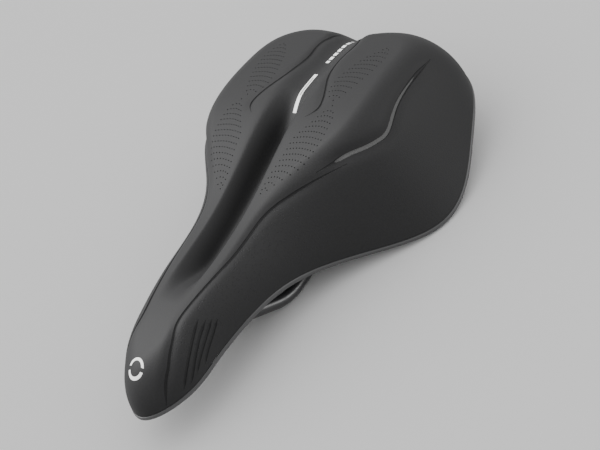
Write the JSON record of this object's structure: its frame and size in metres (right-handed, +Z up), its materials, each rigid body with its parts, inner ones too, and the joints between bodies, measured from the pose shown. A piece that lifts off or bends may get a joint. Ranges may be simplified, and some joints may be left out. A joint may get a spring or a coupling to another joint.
{
  "type": "bicycle saddle",
  "caption": "Padded bicycle saddle with a moulded skin, relief channel and perforated pads, on a bent-wire rail sprung by two rear rubber buffers.",
  "frame": {"origin": "midway between the two rails on their centre lines, in the middle of the straight stretch that a seat post clamps", "axes": "+Z up, nose towards -Y, +X to the rider's left"},
  "size_m": [0.1768, 0.2734, 0.073],
  "materials": {
    "moulded_skin": "matt moulded synthetic skin, fine grain",
    "foam": "moulded polyurethane foam",
    "base_plastic": "injection moulded, fine texture",
    "edge_strip": "satin moulded strip",
    "buffer_rubber": "matt moulded rubber",
    "rail_steel": "black coated steel",
    "zinc_plate": "zinc plated",
    "brass": "turned"
  },
  "bodies": {
    "rail_frame": {"nose_bush": "buffer_rubber", "rail_wire": "rail_steel", "rear_bridge": "rail_steel", "rail_end_cap_left": "base_plastic", "rail_end_cap_right": "base_plastic", "bridge_screw_left": "zinc_plate", "bridge_screw_right": "zinc_plate", "elastomer_left": "buffer_rubber", "elastomer_right": "buffer_rubber"},
    "seat": {"cover_skin": "moulded_skin", "foam_padding": "foam", "base_shell": "base_plastic", "edge_trim": "edge_strip", "nose_cap": "base_plastic", "nose_screw_front": "zinc_plate", "nose_screw_rear": "zinc_plate", "elastomer_bolt_left": "zinc_plate", "elastomer_bolt_right": "zinc_plate", "elastomer_washer_left": "zinc_plate", "elastomer_washer_right": "zinc_plate", "threaded_insert_left": "brass", "threaded_insert_right": "brass"}
  },
  "joints": [
    {"name": "suspension_pivot", "type": "hinge", "parent": "rail_frame", "child": "seat", "pos_m": [0, -0.1, 0.018], "axis": [-1, 0, 0], "range_deg": [0, 1.1], "stiffness_Nm_per_rad": 1800, "springref_deg": -0.23, "deforming": ["elastomer_left", "elastomer_right"]}
  ]
}
